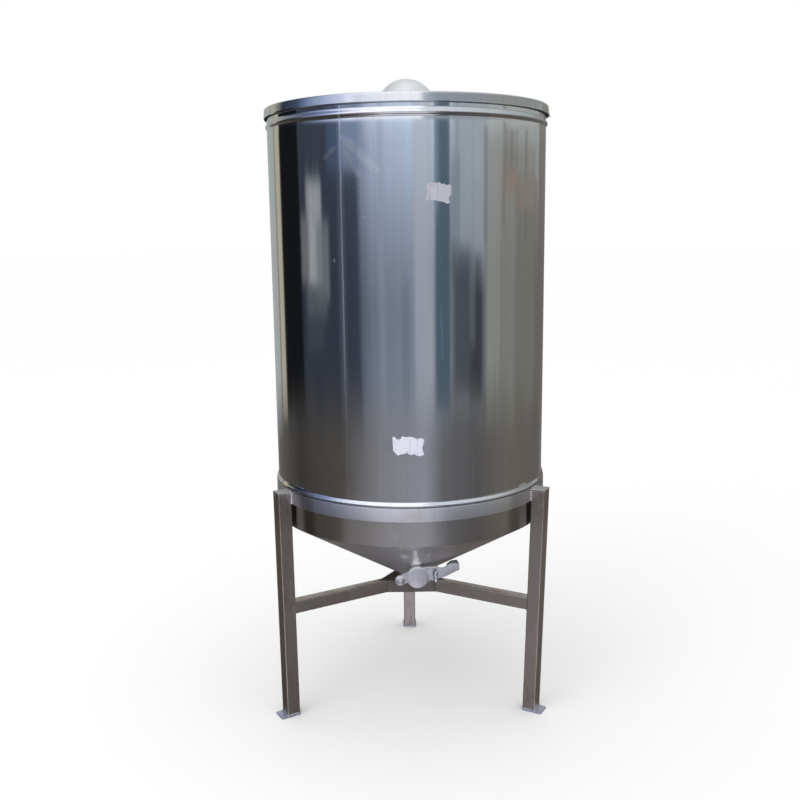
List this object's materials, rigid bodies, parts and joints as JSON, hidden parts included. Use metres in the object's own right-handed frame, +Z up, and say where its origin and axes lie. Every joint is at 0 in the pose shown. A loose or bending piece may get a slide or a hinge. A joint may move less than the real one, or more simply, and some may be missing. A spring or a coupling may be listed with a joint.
{
  "type": "honey settling tank",
  "caption": "Stainless steel upright honey settling tank with a cone bottom, a lift-off lid, a lever gate at the outlet and a welded stand on legs.",
  "frame": {"origin": "on the floor, under the middle of the whole tank's bounding box, which lies 21.5 mm behind the tank's axis", "axes": "+Z up, the gate faces -Y, +X to the right seen from the front"},
  "size_m": [0.8228, 0.8658, 1.8438],
  "materials": {
    "polished_steel": "polished sheet with faint vertical rubbing marks and light scratches",
    "cone_steel": "polished sheet, slightly duller than the wall",
    "lid_steel": "satin sheet",
    "stand_steel": "ground stainless tube with weld marks and grime",
    "gate_steel": "satin cast stainless",
    "bolt_steel": "bright turned stainless"
  },
  "bodies": {
    "tank_and_stand": {"tank_wall": "polished_steel", "tank_cone": "cone_steel", "cone_tip": "cone_steel", "outlet_pipe": "gate_steel", "gate_body": "gate_steel", "gate_pivot_bolt": "bolt_steel", "gate_clamp_stud": "bolt_steel", "stand_hoop": "stand_steel", "hub_frame": "stand_steel", "leg_left": "stand_steel", "leg_right": "stand_steel", "leg_back": "stand_steel", "leg_cap_left": "stand_steel", "leg_cap_right": "stand_steel", "leg_cap_back": "stand_steel", "foot_plate_left": "stand_steel", "foot_plate_right": "stand_steel", "foot_plate_back": "stand_steel", "brace_left": "stand_steel", "brace_right": "stand_steel", "brace_back": "stand_steel"},
    "lid": {"lid_plate": "lid_steel", "lid_dome": "lid_steel"},
    "blade": {"gate_blade": "gate_steel"},
    "wing_nut": {"gate_wing_nut": "bolt_steel"}
  },
  "joints": [
    {"name": "lid_lift", "type": "slide", "parent": "tank_and_stand", "child": "lid", "axis": [0, 0, 1], "range_m": [0, 0.3]},
    {"name": "gate_swing", "type": "hinge", "parent": "tank_and_stand", "child": "blade", "pos_m": [-0.03364, -0.22221, 0.408], "axis": [-0.0872, 0.9962, 0], "range_deg": [0, 80]},
    {"name": "wing_nut_turn", "type": "hinge", "parent": "tank_and_stand", "child": "wing_nut", "pos_m": [0.06902, -0.21373, 0.42], "axis": [0.0872, -0.9962, 0], "range_deg": [0, 360]}
  ]
}
